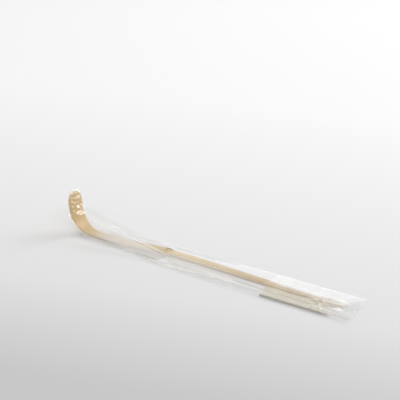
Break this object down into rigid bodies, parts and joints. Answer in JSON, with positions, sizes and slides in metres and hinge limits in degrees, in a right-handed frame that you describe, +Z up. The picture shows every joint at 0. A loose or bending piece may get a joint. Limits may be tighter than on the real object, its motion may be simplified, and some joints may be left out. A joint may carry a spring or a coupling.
{
  "type": "bamboo tea scoop in a film sleeve",
  "caption": "Slim bamboo tea scoop with an upturned rounded tip and a node in its shaft, lying in a clear film sleeve with welded edges and a folded-back adhesive flap.",
  "frame": {"origin": "on the table under the middle of the packed scoop's length and width", "axes": "+X along the shaft from the tip to the handle end and the sleeve's mouth, +Z up from the table, XZ is the plane of symmetry"},
  "size_m": [0.1754, 0.0274, 0.0267],
  "materials": {
    "bamboo": "golden bamboo with a smooth satin skin and fine lengthwise fibres",
    "clear_film": "clear glossy packing film with creases",
    "film_weld": "clear heat-welded film edge",
    "adhesive": "thin clear adhesive, slightly cream"
  },
  "bodies": {
    "sleeve": {"sleeve_back_film": "clear_film", "sleeve_front_film": "clear_film", "near_side_weld": "film_weld", "far_side_weld": "film_weld", "end_weld": "film_weld"},
    "scoop": {"scoop": "bamboo"},
    "flap": {"sleeve_flap": "clear_film", "flap_adhesive_strip": "adhesive"}
  },
  "joints": [
    {"name": "scoop_slide", "type": "slide", "parent": "sleeve", "child": "scoop", "axis": [1, 0, 0], "range_m": [0, 0.18], "deforming": ["sleeve_front_film", "sleeve_flap", "flap_adhesive_strip"]},
    {"name": "flap_open", "type": "hinge", "parent": "sleeve", "child": "flap", "pos_m": [0.0876, 0, 0.0019], "axis": [0, 1, 0], "range_deg": [0, 180]}
  ]
}
